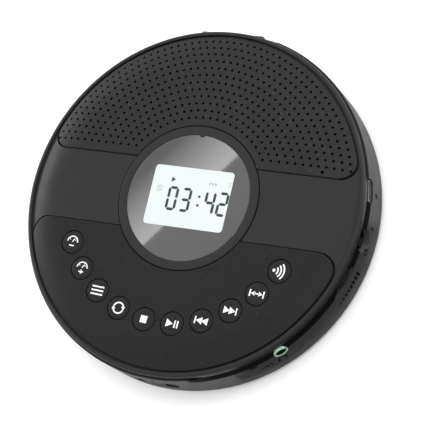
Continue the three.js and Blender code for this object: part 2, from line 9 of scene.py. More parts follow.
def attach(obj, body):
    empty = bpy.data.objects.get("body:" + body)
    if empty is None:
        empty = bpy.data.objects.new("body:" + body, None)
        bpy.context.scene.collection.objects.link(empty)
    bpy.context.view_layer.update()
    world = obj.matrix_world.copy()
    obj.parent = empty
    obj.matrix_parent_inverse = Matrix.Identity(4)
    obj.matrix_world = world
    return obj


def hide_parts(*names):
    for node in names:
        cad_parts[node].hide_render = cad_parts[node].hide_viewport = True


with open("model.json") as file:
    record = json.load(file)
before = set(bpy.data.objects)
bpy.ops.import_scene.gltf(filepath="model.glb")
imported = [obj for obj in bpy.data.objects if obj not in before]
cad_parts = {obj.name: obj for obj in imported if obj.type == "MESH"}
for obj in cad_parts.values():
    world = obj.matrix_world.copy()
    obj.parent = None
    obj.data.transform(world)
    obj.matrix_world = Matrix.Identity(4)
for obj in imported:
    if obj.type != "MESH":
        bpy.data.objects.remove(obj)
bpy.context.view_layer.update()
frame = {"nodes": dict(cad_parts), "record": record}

MM = 0.001

# ---------------------------------------------------------------- camera, lamps and table
# The player lies on a pale table top, seen from the side of its sockets and well above it.
# A low lamp stands on its left, one on its right and one in front, and the largest hangs overhead.

scene = bpy.context.scene
camera = bpy.data.objects.new("camera", bpy.data.cameras.new("camera"))
camera.data.lens = 147.32
camera.data.sensor_width = 36
camera.data.clip_start = 0.05
camera.data.clip_end = 20
EYE = (0.30950, -0.16915, 0.67090)
# The camera's own axes: to its right, up, and back from where it looks.
to_right = (0.90770, 0.22401, -0.35482)
up = (-0.12059, 0.94918, 0.29073)
back = (0.40191, -0.22111, 0.88858)
camera.matrix_world = Matrix([*zip(to_right, up, back, EYE), (0, 0, 0, 1)])
scene.collection.objects.link(camera)
scene.camera = camera


def lamp(name, place, aim, power, wide, high):
    """An oblong soft lamp at a place, turned towards a point."""
    made = bpy.data.objects.new(name, bpy.data.lights.new(name, "AREA"))
    made.data.shape = "RECTANGLE"
    made.data.size = wide
    made.data.size_y = high
    made.data.energy = power
    made.location = place
    made.rotation_euler = (Vector(aim) - Vector(place)).to_track_quat("-Z", "Y").to_euler()
    scene.collection.objects.link(made)
    return made


MIDDLE = (0, 0, 0.02)
lamp("left_lamp", (-1.3, 0.3, 0.24), MIDDLE, 5.5, 0.9, 0.35)
lamp("right_lamp", (1.1, 0.9, 0.6), MIDDLE, 8, 0.8, 0.5)
lamp("front_lamp", (0.43, -0.20, 1.1), (0.05, -0.03, 0.02), 0.6, 0.12, 0.12)
lamp("top_lamp", (0.1, 0.2, 2.0), (0, 0, 0), 34, 1.6, 1.6).visible_glossy = False
scene.view_settings.view_transform = "Standard"


def ramp(tree, value, start, end, first, last):
    """A value that goes from first to last while another goes from start to end. Gives its output."""
    node = tree.nodes.new("ShaderNodeMapRange")
    for label, number in (("From Min", start), ("From Max", end), ("To Min", first), ("To Max", last)):
        node.inputs[label].default_value = number
    tree.links.new(value, node.inputs["Value"])
    return node.outputs[0]


def maths(tree, operation, *values):
    """One Math node; each value is a number or a socket. Gives its output."""
    node = tree.nodes.new("ShaderNodeMath")
    node.operation = operation
    for socket, value in zip(node.inputs, values):
        if hasattr(value, "is_linked"):
            tree.links.new(value, socket)
        else:
            socket.default_value = value
    return node.outputs[0]


# Overhead the room is dimmer than round about, so the rounded rim of the player shades away from its
# flat top. The side with the sockets faces the dark end of the room.
sky = bpy.data.worlds.new("studio")
sky.use_nodes = True
tree = sky.node_tree
background = tree.nodes["Background"].inputs
background["Color"].default_value = (1, 1, 1, 1)
direction = tree.nodes.new("ShaderNodeTexCoord").outputs["Generated"]
parts = tree.nodes.new("ShaderNodeSeparateXYZ")
tree.links.new(direction, parts.inputs[0])
towards_sockets = tree.nodes.new("ShaderNodeVectorMath")
towards_sockets.operation = "DOT_PRODUCT"
towards_sockets.inputs[1].default_value = (0.985, -0.174, 0)
tree.links.new(direction, towards_sockets.inputs[0])
overhead = ramp(tree, parts.outputs["Z"], 0.86, 0.99, 0.72, 0.2)
dark_end = ramp(tree, towards_sockets.outputs["Value"], 0.25, 0.75, 1, 0.25)
tree.links.new(maths(tree, "MULTIPLY", overhead, dark_end), background["Strength"])
scene.world = sky


def new_object(name, vertices, faces):
    """A piece at the origin from vertices in millimetres and faces, with its faces turned outwards."""
    mesh = bpy.data.meshes.new(name)
    faces = faces.tolist() if hasattr(faces, "tolist") else faces
    mesh.from_pydata((np.asarray(vertices, float) * MM).tolist(), [], faces)
    work = bmesh.new()
    work.from_mesh(mesh)
    bmesh.ops.remove_doubles(work, verts=work.verts, dist=1e-7)
    bmesh.ops.dissolve_degenerate(work, edges=work.edges, dist=1e-8)
    bmesh.ops.recalc_face_normals(work, faces=work.faces)
    work.to_mesh(mesh)
    work.free()
    made = bpy.data.objects.new(name, mesh)
    scene.collection.objects.link(made)
    return made


def grid_faces(rows, columns, wrap_rows=False, wrap_columns=False):
    """Four-sided faces between neighbouring points of a grid, joined round where it wraps."""
    i = np.arange(rows if wrap_rows else rows - 1)
    j = np.arange(columns if wrap_columns else columns - 1)
    i, j = [a.ravel() for a in np.meshgrid(i, j, indexing="ij")]
    i2, j2 = (i + 1) % rows, (j + 1) % columns
    return np.stack([i * columns + j, i * columns + j2, i2 * columns + j2, i2 * columns + j], axis=1)


def plain(name, colour, roughness):
    """A material of one colour. Gives it, its node tree and its shader's inputs."""
    made = bpy.data.materials.new(name)
    made.use_nodes = True
    inputs = made.node_tree.nodes["Principled BSDF"].inputs
    inputs["Base Color"].default_value = (*colour, 1)
    inputs["Roughness"].default_value = roughness
    return made, made.node_tree, inputs


def unseen(obj):
    """Leaves only the object's reflection."""
    obj.visible_camera = False
    obj.visible_diffuse = False
    obj.visible_shadow = False


# Seen directly the paper is a little brighter than it lights what is round it, so shadows stay pale.
TABLE_HALF = 3000
table_corners = [(TABLE_HALF * x, TABLE_HALF * y, 0) for x, y in ((-1, -1), (1, -1), (1, 1), (-1, 1))]
floor = new_object("table_top", table_corners, [(0, 1, 2, 3)])
paper, tree, inputs = plain("table_paper", (0.86, 0.86, 0.86), 0.7)
camera_ray = tree.nodes.new("ShaderNodeLightPath").outputs["Is Camera Ray"]
inputs["Emission Color"].default_value = (1, 1, 1, 1)
tree.links.new(maths(tree, "MULTIPLY", camera_ray, 0.18), inputs["Emission Strength"])
floor.data.materials.append(paper)

# A dark flag lies beside the wall with the controls and shows only in its sheen, which keeps it dark.
spread = np.radians(np.linspace(-66, 4, 25))
flag_points = [(r * math.cos(a), r * math.sin(a), 1) for r in (77, 170) for a in spread]
flag = new_object("dark_flag", flag_points, grid_faces(2, len(spread)))
flag.data.materials.append(plain("flag_black", (0.01, 0.01, 0.01), 1)[0])
unseen(flag)

# A lit card behind the player, brightest along one edge, is what the mirrored window shows.
WINDOW_Z = 26.9
CARD_AWAY = 2.634  # from the mirrored eye, in lengths of the way to the window
CARD_WIDTH = 40
mirrored_eye = np.array([EYE[0] / MM, EYE[1] / MM, 2 * WINDOW_Z - EYE[2] / MM])


def on_card(x, y):
    """Where the line from the mirrored eye through a point of the window meets the card."""
    return mirrored_eye + (np.array([x, y, WINDOW_Z]) - mirrored_eye) * CARD_AWAY


edge_low, edge_high = on_card(-34, -48), on_card(34, 42)
away = on_card(-34 - CARD_WIDTH * 0.8, -48 + CARD_WIDTH * 0.6) - edge_low
card = new_object("lit_card", [edge_low, edge_high, edge_high + away, edge_low + away], [(0, 1, 2, 3)])
card_uv = card.data.uv_layers.new(name="fall")
for corner in card.data.loops:
    card_uv.data[corner.index].uv = ((0, 0), (1, 0), (1, 1), (0, 1))[corner.vertex_index]
glow, tree, inputs = plain("card_glow", (0, 0, 0), 0.5)
fall = tree.nodes.new("ShaderNodeSeparateXYZ")
tree.links.new(tree.nodes.new("ShaderNodeUVMap").outputs[0], fall.inputs[0])
inputs["Emission Color"].default_value = (1, 1, 1, 1)
tree.links.new(ramp(tree, fall.outputs["Y"], 0, 0.6, 2.3, 0.42), inputs["Emission Strength"])
card.data.materials.append(glow)
unseen(card)

# ---------------------------------------------------------------- moulded finishes
# Most of the case is injection-moulded plastic with a fine spark-eroded grain. The grain, the faint
# unevenness of its colour and the light dust are shared, and each moulding sets its own amounts.


def group(name, inputs, outputs):
    """An empty node group with named inputs (name: type and value) and outputs (name: type)."""
    made = bpy.data.node_groups.new(name, "ShaderNodeTree")
    for label, (kind, value) in inputs.items():
        made.interface.new_socket(label, in_out="INPUT", socket_type=kind).default_value = value
    for label, kind in outputs.items():
        made.interface.new_socket(label, in_out="OUTPUT", socket_type=kind)
    return made, made.nodes.new("NodeGroupInput").outputs, made.nodes.new("NodeGroupOutput").inputs


def noise(tree, where, scale, detail=2.0, roughness=0.5):
    """A Noise texture at a place; the scale is a number or a socket. Gives its height."""
    node = tree.nodes.new("ShaderNodeTexNoise")
    node.inputs["Detail"].default_value = detail
    node.inputs["Roughness"].default_value = roughness
    tree.links.new(where, node.inputs["Vector"])
    if hasattr(scale, "is_linked"):
        tree.links.new(scale, node.inputs["Scale"])
    else:
        node.inputs["Scale"].default_value = scale
    return node.outputs["Fac"]


FLOAT, COLOUR = "NodeSocketFloat", "NodeSocketColor"
moulding, m_in, m_out = group(
    "moulded_grain",
    {"Colour": (COLOUR, (0.05, 0.05, 0.05, 1)), "Grain per metre": (FLOAT, 2500.0), "Mottle": (FLOAT, 0.15),
     "Roughness": (FLOAT, 0.5), "Dust": (FLOAT, 0.1)},
    {"Colour": COLOUR, "Roughness": FLOAT, "Height": FLOAT},
)
place = moulding.nodes.new("ShaderNodeTexCoord").outputs["Object"]
fine = noise(moulding, place, m_in["Grain per metre"], 3.0, 0.6)
broad = noise(moulding, place, 28.0, 3.0)
specks = noise(moulding, place, 900.0, 1.0)
fine_amount = maths(moulding, "MULTIPLY", m_in["Mottle"], 2.4)
swing = maths(moulding, "MULTIPLY", maths(moulding, "SUBTRACT", fine, 0.5), fine_amount)
drift = maths(moulding, "MULTIPLY", maths(moulding, "SUBTRACT", broad, 0.5), m_in["Mottle"])
shade = maths(moulding, "ADD", maths(moulding, "ADD", swing, drift), 1.0)
shaded = moulding.nodes.new("ShaderNodeVectorMath")
shaded.operation = "SCALE"
moulding.links.new(m_in["Colour"], shaded.inputs[0])
moulding.links.new(shade, shaded.inputs["Scale"])
speck = ramp(moulding, specks, 0.66, 0.78, 0, 1)
dusty = moulding.nodes.new("ShaderNodeMix")
dusty.data_type = "RGBA"
dusty.inputs["B"].default_value = (0.32, 0.31, 0.30, 1)
moulding.links.new(maths(moulding, "MULTIPLY", speck, m_in["Dust"]), dusty.inputs["Factor"])
moulding.links.new(shaded.outputs[0], dusty.inputs["A"])
moulding.links.new(dusty.outputs["Result"], m_out["Colour"])
wear = maths(moulding, "SUBTRACT", noise(moulding, place, 120.0, 4.0), 0.5)
rub = maths(moulding, "MULTIPLY", wear, 0.25)
moulding.links.new(maths(moulding, "ADD", m_in["Roughness"], rub), m_out["Roughness"])
moulding.links.new(fine, m_out["Height"])


def finish(name, colour, roughness, grain, mottle, bump, dust, metallic=0.0, **sockets):
    """A moulded finish: the shared group with this piece's values, into a Principled shader and a Bump."""
    made = bpy.data.materials.new(name)
    made.use_nodes = True
    tree = made.node_tree
    shader = tree.nodes["Principled BSDF"]
    node = tree.nodes.new("ShaderNodeGroup")
    node.node_tree = moulding
    amounts = {"Grain per metre": grain, "Mottle": mottle, "Roughness": roughness, "Dust": dust}
    for label, value in {"Colour": (*colour, 1), **amounts}.items():
        node.inputs[label].default_value = value
    height = tree.nodes.new("ShaderNodeBump")
    height.inputs["Distance"].default_value = 0.0001
    height.inputs["Strength"].default_value = bump
    tree.links.new(node.outputs["Colour"], shader.inputs["Base Color"])
    tree.links.new(node.outputs["Roughness"], shader.inputs["Roughness"])
    tree.links.new(node.outputs["Height"], height.inputs["Height"])
    tree.links.new(height.outputs["Normal"], shader.inputs["Normal"])
    shader.inputs["Metallic"].default_value = metallic
    for label, value in sockets.items():
        shader.inputs[label.replace("_", " ")].default_value = value
    return made


SATIN = {"Specular_IOR_Level": 0.26}

# ---------------------------------------------------------------- base tub
# The lower half of the case: one dark grey ABS moulding, a round tub 148 mm across with 1.8 mm walls.
# The wall leans in under the lid where the sockets and side controls are, and is cut through for them.

SIDES = 288


def rounded(corners, closed=False, steps=5):
    """A line through corners (a, b, radius). Each becomes an arc touching both of its sides, whose ends
    lie radius / tan(half the inside angle) from the corner."""
    out = []
    for i, (a, b, radius) in enumerate(corners):
        p = np.array([a, b], float)
        if radius == 0 or (not closed and i in (0, len(corners) - 1)):
            out.append(p)
            continue
        back = np.array(corners[i - 1][:2]) - p
        on = np.array(corners[(i + 1) % len(corners)][:2]) - p
        back, on = back / np.linalg.norm(back), on / np.linalg.norm(on)
        half = math.acos(np.clip(back @ on, -1, 1)) / 2
        centre = p + (back + on) / np.linalg.norm(back + on) * radius / math.sin(half)
        start = p + back * radius / math.tan(half) - centre
        end = p + on * radius / math.tan(half) - centre
        sweep = math.pi - 2 * half
        for t in np.linspace(0, 1, steps + 1):
            spoke = (math.sin((1 - t) * sweep) * start + math.sin(t * sweep) * end) / math.sin(sweep)
            out.append(centre + spoke)
    return np.array(out)


def turned(name, outline, sides=SIDES, centre=(0, 0), shape=None):
    """An outline of (radius, height) carried round an upright axis: x = radius cos(angle), y = radius
    sin(angle). It runs from axis to axis or is closed. shape(angle, radius, height) may move each point."""
    outline = np.asarray(outline, float)
    angle = np.linspace(0, 2 * math.pi, sides, endpoint=False)[None, :]
    radius, height = (np.repeat(outline[:, k][:, None], sides, axis=1) for k in (0, 1))
    if shape:
        radius, height = shape(np.repeat(angle, len(outline), axis=0), radius, height)
    x, y = centre[0] + radius * np.cos(angle), centre[1] + radius * np.sin(angle)
    points = np.stack([x, y, height], axis=-1)
    return new_object(name, points.reshape(-1, 3), grid_faces(*radius.shape, outline[0][0] > 0, True))


def slab(name, outline, low, high, put=None):
    """A flat closed outline (u, v) pulled straight from w = low to w = high; put(u, v, w) gives its place."""
    n = len(outline)
    uv = np.asarray(outline, float)
    points = np.concatenate([np.column_stack([uv, np.full(n, w)]) for w in (low, high)])
    if put:
        points = np.column_stack(put(*points.T))
    around = np.arange(n)
    following = (around + 1) % n
    walls = np.stack([around, following, following + n, around + n], axis=1).tolist()
    return new_object(name, points, walls + [list(range(n))[::-1], list(range(n, 2 * n))])


def on_wall(degrees):
    """Places u along the wall, v up and w out from the axis, at an angle round the case."""
    c, s = math.cos(math.radians(degrees)), math.sin(math.radians(degrees))
    return lambda u, v, w: (w * c - u * s, w * s + u * c, v)


def circle(u, v, radius, sides=48):
    """The outline of a circle: (u + radius cos(angle), v + radius sin(angle))."""
    angle = np.linspace(0, 2 * math.pi, sides, endpoint=False)
    return np.column_stack([u + radius * np.cos(angle), v + radius * np.sin(angle)])


def block(u, v, radius=0.0):
    """The outline of an oblong from u[0] to u[1] and v[0] to v[1], with rounded corners."""
    corners = [(u[0], v[0], radius), (u[1], v[0], radius), (u[1], v[1], radius), (u[0], v[1], radius)]
    return rounded(corners, closed=True, steps=6)


def combine(obj, other, operation="DIFFERENCE"):
    """Takes the other solid out of obj (or adds it), and throws the other away."""
    change = obj.modifiers.new("combine", "BOOLEAN")
    change.operation = operation
    change.solver = "MANIFOLD"
    change.object = other
    graph = bpy.context.evaluated_depsgraph_get()
    mesh = bpy.data.meshes.new_from_object(obj.evaluated_get(graph))
    obj.modifiers.clear()
    obj.data = mesh
    bpy.data.objects.remove(other)
    return obj


def finished(obj, material, body, slot, *nodes, angle=32):
    """Smooth faces with edges sharp over an angle, then the piece's finish, its body and the CAD nodes
    it stands for."""
    obj.data.materials.clear()
    obj.data.materials.append(material)
    obj.data.shade_smooth()
    obj.data.set_sharp_from_angle(angle=math.radians(angle))
    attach(obj, body)
    if nodes:
        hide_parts(*nodes)
    return obj


def smooth_step(low, high, value):
    """3 t^2 - 2 t^3, where t runs from 0 at low to 1 at high."""
    t = np.clip((value - low) / (high - low), 0, 1)
    return t * t * (3 - 2 * t)


def polar(radius, degrees):
    """The point (radius cos(angle), radius sin(angle))."""
    angle = math.radians(degrees)
    return radius * math.cos(angle), radius * math.sin(angle)


CASE_R = 73.9  # outside of the wall
INNER_R = 72.1
RIM_INNER_R = 73.5
BOTTOM_Z = 1.5
FLOOR_Z = 3.3
STRIP_Z = 17.8  # the leaning strip starts here
LEDGE_Z = 20.2
RIM_Z = 21.2
GROOVE_Z = 1.75  # a shallow groove round the underside
LEAN = 0.612  # how far the strip goes in for each mm up


def lean(angle, radius, height):
    """From about -72 to 7 degrees the wall above STRIP_Z leans in and its rim stops near the ledge:
    radius = min(radius, CASE_R - LEAN weight (height - STRIP_Z)), where weight falls to 0 at both ends."""
    turn = (np.degrees(angle) + 180) % 360 - 180
    weight = smooth_step(-78, -67, turn) * smooth_step(9, 5.5, turn)
    height = height - weight * np.maximum(height - LEDGE_Z, 0) * 0.97
    limit = CASE_R - LEAN * weight * np.maximum(height - STRIP_Z, 0)
    limit = np.where(radius < CASE_R - 0.2, limit - 0.05, limit)
    leaning = np.minimum(radius, np.maximum(limit, INNER_R + 0.05))
    return np.where(radius > INNER_R + 0.01, leaning, radius), height


wall_heights = (3.6, 6, 9, 12, 15, 17, STRIP_Z, 18.4, 19, 19.6, LEDGE_Z)
tub_outline = rounded([
    (0, BOTTOM_Z, 0), (61.6, BOTTOM_Z, 0.1), (61.8, GROOVE_Z, 0.1), (62.4, GROOVE_Z, 0.1),
    (62.6, BOTTOM_Z, 0.1), (CASE_R, BOTTOM_Z, 2.0), *((CASE_R, height, 0) for height in wall_heights),
    (CASE_R, RIM_Z, 0.12), (RIM_INNER_R, RIM_Z, 0.1), (RIM_INNER_R, LEDGE_Z, 0), (INNER_R, LEDGE_Z, 0),
    (INNER_R, FLOOR_Z, 0), (0, FLOOR_Z, 0),
], steps=4)
tub = turned("base_tub", tub_outline, shape=lean)

# Angles of the sockets and controls round the case, and places of the screws and feet.
HEADPHONE, AUX, USB, WHEEL, SWITCH, OPENER = -47.3, -57.3, 11, -18, -4.5, -90.75
SCREWS = [(-45, 42), (-45, -38), (33, -33), (33, 38)]
FEET = [polar(60, degrees) for degrees in (30, 150, 210, 330)]
openings = [
    (circle(0, 17.1, 3.1), 70, 76, HEADPHONE),
    (circle(0, 17, 1.75), 70, 76, AUX),
    (block((-4.6, 4.6), (16, 26), 1.6), 70, 76, USB),
    (block((-5.5, 5.5), (17, 26), 0.8), 70, 76, WHEEL),
    (block((-8.2, 6.2), (17.6, 26), 0.8), 72.9, 76, WHEEL),
    (block((-3.4, 3.4), (17.3, 26), 0.6), 70, 76, SWITCH),
    (block((-9.3, 9.3), (9, 15), 1.2), 72.8, 76, OPENER),
    (block((-2.6, 5.6), (10.8, 13.2), 0.5), 70, 76, OPENER),
]
for outline, near, far, degrees in openings:
    combine(tub, slab("opening", outline, near, far, on_wall(degrees)))

# A scoop in the wall makes room for a fingertip at the switch.
QUARTER_TURN = Matrix.Rotation(math.radians(90), 4, "Y")
scoop = turned("scoop", [(0, -3), (2.6, -3), (6.4, 2.6), (0, 2.6)], 64)
scoop.data.transform(Matrix.Scale(1.25, 4, (1, 0, 0)))
at_rim = Matrix.Translation((RIM_INNER_R * MM, 0, STRIP_Z * MM))
scoop.data.transform(Matrix.Rotation(math.radians(SWITCH), 4, "Z") @ at_rim @ QUARTER_TURN)
combine(tub, scoop)
for x, y in SCREWS:
    combine(tub, slab("bore", circle(x, y, 2.8), 0.5, 3.2))
for x, y in FEET:
    combine(tub, slab("pocket", circle(x, y, 5.3), 0.5, 2.0))

HINGE_Y, HINGE_Z = 71.6, 20.9
HINGE_ROOM_X = (-16.5, 16.5)
KNUCKLE_R = 1.5
PIN_HOLE_R = 0.85


def hinge_round(name, radius, near, far):
    """A round bar about the hinge's line, which runs along x at HINGE_Y and HINGE_Z."""
    return slab(name, circle(HINGE_Y, HINGE_Z, radius), near, far, lambda u, v, w: (w, u, v))


combine(tub, slab("hinge_room", block(HINGE_ROOM_X, (69, 76)), 18.5, 26))
lug_y = (HINGE_Y - KNUCKLE_R, HINGE_Y + KNUCKLE_R)
for near, far in ((-13.4, -8.2), (8.2, 13.4)):
    combine(tub, slab("lug", block((near, far), lug_y), 16, HINGE_Z), "UNION")
    combine(tub, hinge_round("knuckle", KNUCKLE_R, near, far), "UNION")
combine(tub, hinge_round("pin_hole", PIN_HOLE_R, -20, 20))
base_plastic = finish("base_plastic", (0.032, 0.032, 0.0335), 0.46, 2200, 0.10, 0.05, 0.05, **SATIN)
finished(tub, base_plastic, "base", "base_plastic", "base_shell")

# The leaning strip and the rim above it are painted near black with little sheen, unlike the grey wall:
# painted shade for the shadow where the wall leans in under the lid's overhanging lip.
DULL = {"Specular_IOR_Level": 0.06}
strip_painted_shade = finish("strip_painted_shade", (0.003, 0.003, 0.0032), 0.6, 2200, 0.10, 0.02, 0.02, **DULL)
tub.data.materials.append(strip_painted_shade)
centres = np.empty(len(tub.data.polygons) * 3)
tub.data.polygons.foreach_get("center", centres)
cx, cy, cz = centres.reshape(-1, 3).T / MM
turned_by = np.degrees(np.arctan2(cy, cx))
# The painted shade goes on the faces above STRIP_Z on the leaning side, picked by where they are.
strip = (cz > STRIP_Z) & (np.hypot(cx, cy) < CASE_R - 0.02) & (turned_by > -77) & (turned_by < 8)
tub.data.polygons.foreach_set("material_index", strip.astype(np.int32))

# ---------------------------------------------------------------- lid frame
# The lid's main moulding: a rounded lip all round, the flat band across the middle and the round seat for
# the window. The two panels drop into the openings on each side of the band.

LID_Z = 20.6  # underside of the lid
LID_R = 73
LIP_Z = 24.05
LIP_SHELF_Z = 22.55
OPENING_R = 71.1  # the panels' openings reach out to here
lip = turned("lid_frame", rounded([
    (71.6, LID_Z, 0.15), (LID_R, LID_Z, 0.25), (LID_R, LIP_Z, 1.35), (71.12, LIP_Z, 0.4),
    (OPENING_R, LIP_SHELF_Z, 0.2), (68.6, LIP_SHELF_Z, 0), (68.6, 21.9, 0), (71.6, 21.9, 0.1),
], closed=True, steps=8))
BAND_Z = 26.6  # top of the band across the lid
MOULDING_T = 1.4
SHOULDER_R = 57  # flat inside this radius, falling away outside it
crown_top = [
    (0, BAND_Z), (SHOULDER_R, BAND_Z), (59, 26.56), (61, 26.4), (63, 26.05), (65, 25.5), (67, 24.75),
    (69, 23.95), (70, 23.5), (70.6, 23.25), (71.4, 23.1),
]
crown_under = [(r, max(z - MOULDING_T, 22.2)) for r, z in crown_top]
crown = turned("crown", np.array(crown_under + crown_top[::-1]))

CORNER = 7  # radius of the openings' and panels' corners
OPENING_Y = 14.76  # half the width of the band


def opening_outline():
    """A straight edge at y = OPENING_Y, two round corners that touch it and the arc of the lid: each point
    is at a centre plus radius cos(angle), radius sin(angle)."""
    y = OPENING_Y + CORNER
    x = math.sqrt((OPENING_R - CORNER) ** 2 - y * y)
    end = math.degrees(math.atan2(y, x))
    turn = np.radians(np.linspace(-90, end, 14))
    right_corner = np.column_stack([x + CORNER * np.cos(turn), y + CORNER * np.sin(turn)])
    sweep = np.radians(np.linspace(end, 180 - end, 160))[1:-1]
    back = np.column_stack([OPENING_R * np.cos(sweep), OPENING_R * np.sin(sweep)])
    return np.concatenate([right_corner, back, right_corner[::-1] * [-1, 1]])


for side in (1, -1):
    combine(crown, slab("panel_opening", opening_outline() * side, 18, 30))
SEAT_Z = 25.2  # the window's ring stands on the seat
window_hole = circle(0, 0, 25.2, 144)
for outline, low in ((circle(0, 0, 30.6, 144), SEAT_Z), (window_hole, 18)):
    combine(crown, slab("seat", outline, low, 30))
frame_lid = combine(lip, crown, "UNION")
flange = slab("flange", block((-58, 58), (-16.9, 16.9), 3), 24.5, 25.15)
combine(flange, slab("window_room", window_hole, 18, 30))
combine(frame_lid, flange, "UNION")
combine(frame_lid, hinge_round("knuckle", KNUCKLE_R, -7.6, 7.6), "UNION")
for near, far in ((-13.7, -7.9), (7.9, 13.7)):
    combine(frame_lid, hinge_round("knuckle_room", 2.15, near, far))
combine(frame_lid, hinge_round("pin_hole", PIN_HOLE_R, -20, 20))
lid_plastic = finish("lid_plastic", (0.020, 0.020, 0.021), 0.42, 2200, 0.08, 0.04, 0.04, **SATIN)
finished(frame_lid, lid_plastic, "lid", "lid_plastic", "lid_shell", angle=28)

# ---------------------------------------------------------------- panels
# Two thin mouldings set flush into the lid: the plain one that carries the buttons, and the one drilled
# with twelve curved rows of sound holes. Both fall away towards the rim.

TOP_Z = 27  # flat top of the panels
PANEL_R = 70.4
PANEL_INNER_R = 30.5  # round the window's ring
PANEL_Y = OPENING_Y + 0.3
SOFT_R = 0.45  # rounding of a panel's edge
COLUMNS = 420


def panel_grid(name):
    """Polar grid between the inner and outer edge of a panel. Beyond SHOULDER_R the height falls by 0.0176
    (r - SHOULDER_R)^2, and at a distance d from the edge by SOFT_R - sqrt(SOFT_R^2 - (SOFT_R - d)^2)."""
    y = PANEL_Y + CORNER
    x = math.sqrt((PANEL_R - CORNER) ** 2 - y * y)
    centre, far = math.atan2(y, x), math.hypot(x, y)
    first = centre - math.asin(CORNER / far)
    phi = first + (math.pi - 2 * first) * (1 - np.cos(np.linspace(0, math.pi, COLUMNS))) / 2
    mirrored = np.minimum(phi, math.pi - phi)
    along = x * np.cos(mirrored) + y * np.sin(mirrored)
    depth = np.sqrt(np.maximum(along ** 2 - far ** 2 + CORNER ** 2, 0))
    outer = np.where(mirrored < centre, along + depth, PANEL_R)
    start = np.where(mirrored < math.atan2(PANEL_Y, x), along - depth, PANEL_Y / np.sin(mirrored))
    start = np.minimum(np.maximum(start, PANEL_INNER_R), outer)
    length = outer - start
    steps = np.array([0, 0.03, 0.08, 0.16, 0.27, 0.42, 0.7])
    shrink = np.minimum(1, length / 1.6)[None, :]
    near = steps[:, None] * shrink
    middle = near[-1] + (length - 2 * near[-1]) * np.linspace(0, 1, 26)[1:-1, None]
    across = np.concatenate([near, middle, length - near[::-1]])
    r = start + across
    px, py = r * np.cos(phi), r * np.sin(phi)
    vx, vy = np.abs(px) - x, py - y
    turn = np.arctan2(vy, vx)
    to_corner = np.where((turn < centre) & (turn > -math.pi / 2), CORNER - np.hypot(vx, vy), 99)
    gap = np.minimum.reduce([py - PANEL_Y, PANEL_R - r, to_corner, r - PANEL_INNER_R])
    gap = np.clip(gap, 0, SOFT_R)
    beyond = np.maximum(r - SHOULDER_R, 0)
    level = TOP_Z - 0.0176 * beyond ** 2
    high = level - (SOFT_R - np.sqrt(SOFT_R ** 2 - (SOFT_R - gap) ** 2))
    low = np.minimum(level - MOULDING_T + 0.03 * beyond, high - 0.3)
    up = np.stack([px, py, high], axis=-1)
    under = np.stack([px, py, low], axis=-1)[::-1][[0, 8, 16, 24, 32, -1]]
    loop = np.concatenate([up, under])
    return new_object(name, loop.reshape(-1, 3), grid_faces(len(loop), COLUMNS, True, False))


buttons = [
    "speed_down", "speed_up", "function", "mode", "stop",
    "play_pause", "previous", "next", "repeat", "wireless",
]
BUTTON_CIRCLE_R = 52.06
BUTTON_STEP = 13.7  # degrees
BUTTON_AT = {name: polar(BUTTON_CIRCLE_R, -90 + (i - 4.5) * BUTTON_STEP) for i, name in enumerate(buttons)}
button_panel = panel_grid("button_plate")
button_panel.data.transform(Matrix.Rotation(math.pi, 4, "Z"))
for x, y in BUTTON_AT.values():
    combine(button_panel, slab("button_hole", circle(x, y, 5.0, 64), 20, 30))
panel_plastic = finish("panel_plastic", (0.0115, 0.0115, 0.012), 0.44, 2200, 0.08, 0.04, 0.04, **SATIN)
finished(button_panel, panel_plastic, "lid", "panel_plastic", "button_panel", angle=30)

grille = panel_grid("grille_plate")
ROWS = 12
FIRST_ROW_R, ROW_STEP = 34, 3.07
ROW_END_Y = 19.1
HOLE_R, HOLE_STEP, HOLE_SIDES = 0.59, 3.1, 12
holes = []
for row in range(ROWS):
    r = FIRST_ROW_R + ROW_STEP * row
    end = math.asin(ROW_END_Y / r)
    count = int(round(r * (math.pi - 2 * end) / HOLE_STEP)) + 1
    holes += [(r * math.cos(a), r * math.sin(a), HOLE_R) for a in np.linspace(end, math.pi - end, count)]
# One hole is a little larger and stands by itself beside the straight edge.
holes.append((54.1, 16.9, 0.7))
at = np.array(holes)
ring = circle(0, 0, 1, HOLE_SIDES)
rims = at[:, None, :2] + ring[None] * at[:, 2][:, None, None]
n = len(at) * HOLE_SIDES
drill = np.concatenate([np.column_stack([rims.reshape(-1, 2), np.full(n, z)]) for z in (20.0, 30.0)])
hole_faces = []
for first in range(0, n, HOLE_SIDES):
    base = np.arange(HOLE_SIDES) + first
    on = np.roll(base, -1)
    hole_faces += np.stack([base, on, on + n, base + n], axis=1).tolist()
    hole_faces += [base[::-1].tolist(), (base + n).tolist()]
combine(grille, new_object("drills", drill, hole_faces))
grille_plastic = finish("grille_plastic", (0.018, 0.018, 0.0185), 0.52, 1500, 0.28, 0.08, 0.08, **SATIN)
finished(grille, grille_plastic, "lid", "grille_plastic", "grille_panel", angle=30)

# ---------------------------------------------------------------- window and display
# A round acrylic window with a smoked mirror film, held by a narrow ring with one small key. The display
# behind it is a backlit liquid crystal; where it is lit the film lets it through as a bright oblong.

WINDOW_R = 26.6
WINDOW_LOW_Z = 25.6
RING_R, RING_INNER_R = 30.2, 26.65
RING_LOW_Z = 25.5
KEY_Y = 26.9  # the ring's key stands at the rear of the window
bezel = turned("window_ring", rounded([
    (RING_INNER_R, RING_LOW_Z, 0), (RING_R, RING_LOW_Z, 0), (RING_R, TOP_Z, 0.25),
    (RING_INNER_R, TOP_Z, 0.12),
], closed=True, steps=5), 192)
combine(bezel, slab("ring_key", circle(0, KEY_Y, 1.3), WINDOW_LOW_Z, 26.97), "UNION")
finished(bezel, lid_plastic, "lid", "lid_plastic", "bezel_ring")

